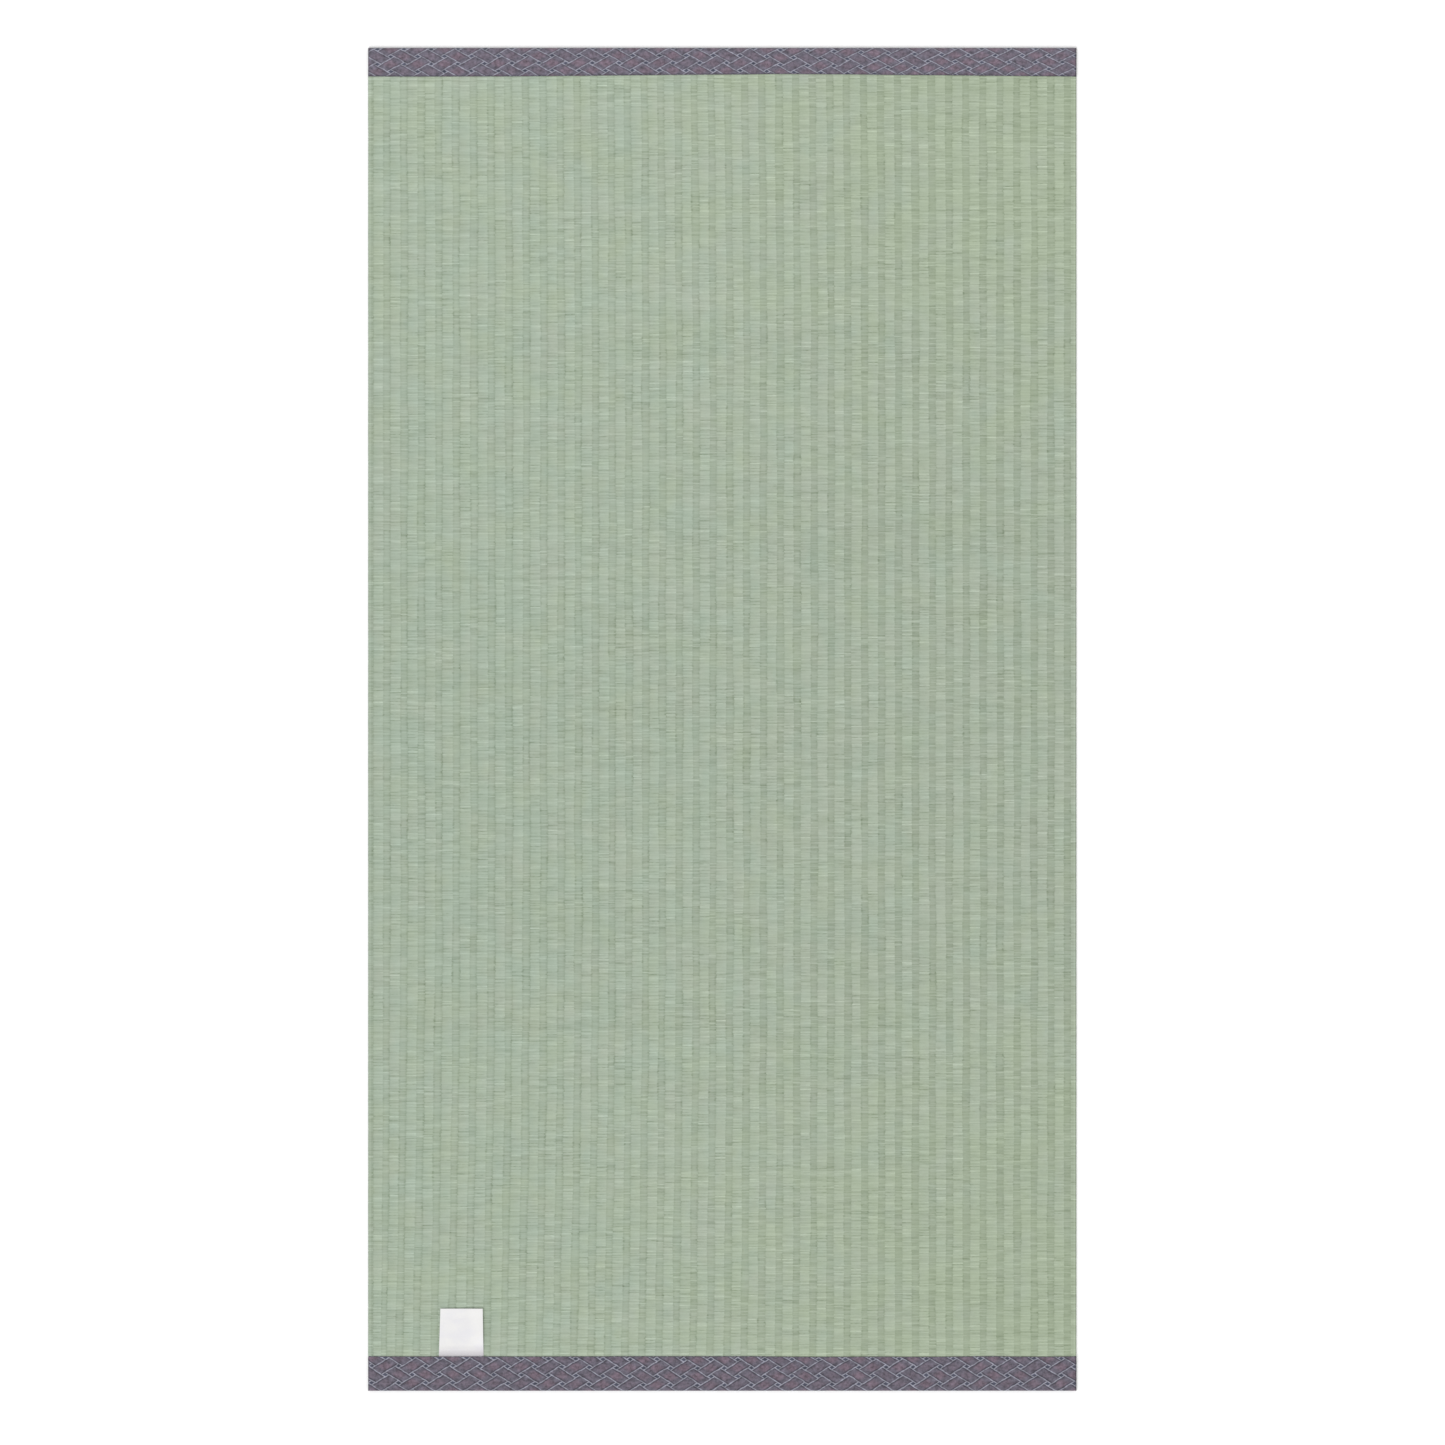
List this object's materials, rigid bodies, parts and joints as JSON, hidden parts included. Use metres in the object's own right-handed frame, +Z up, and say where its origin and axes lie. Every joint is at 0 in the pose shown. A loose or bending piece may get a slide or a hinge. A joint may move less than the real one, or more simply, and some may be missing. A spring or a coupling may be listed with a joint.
{
  "type": "tatami mat",
  "caption": "Flat woven-rush tatami mat with ribs along its length, cloth-bound at its head and foot, with a blank sewn-in tag.",
  "frame": {"origin": "under the middle of the mat, on the surface that it lies on", "axes": "+Y along the mat towards its head, +X across it, +Z up. The tag is at the foot, towards -Y"},
  "size_m": [0.633, 1.2, 0.0042],
  "materials": {
    "rush": "woven rush, soft sheen",
    "border_cloth": "patterned woven cloth, matt",
    "tag_satin": "white satin"
  },
  "bodies": {
    "root": {"rush_facing": "rush", "head_border": "border_cloth", "foot_border": "border_cloth", "blank_tag": "tag_satin"}
  },
  "joints": []
}
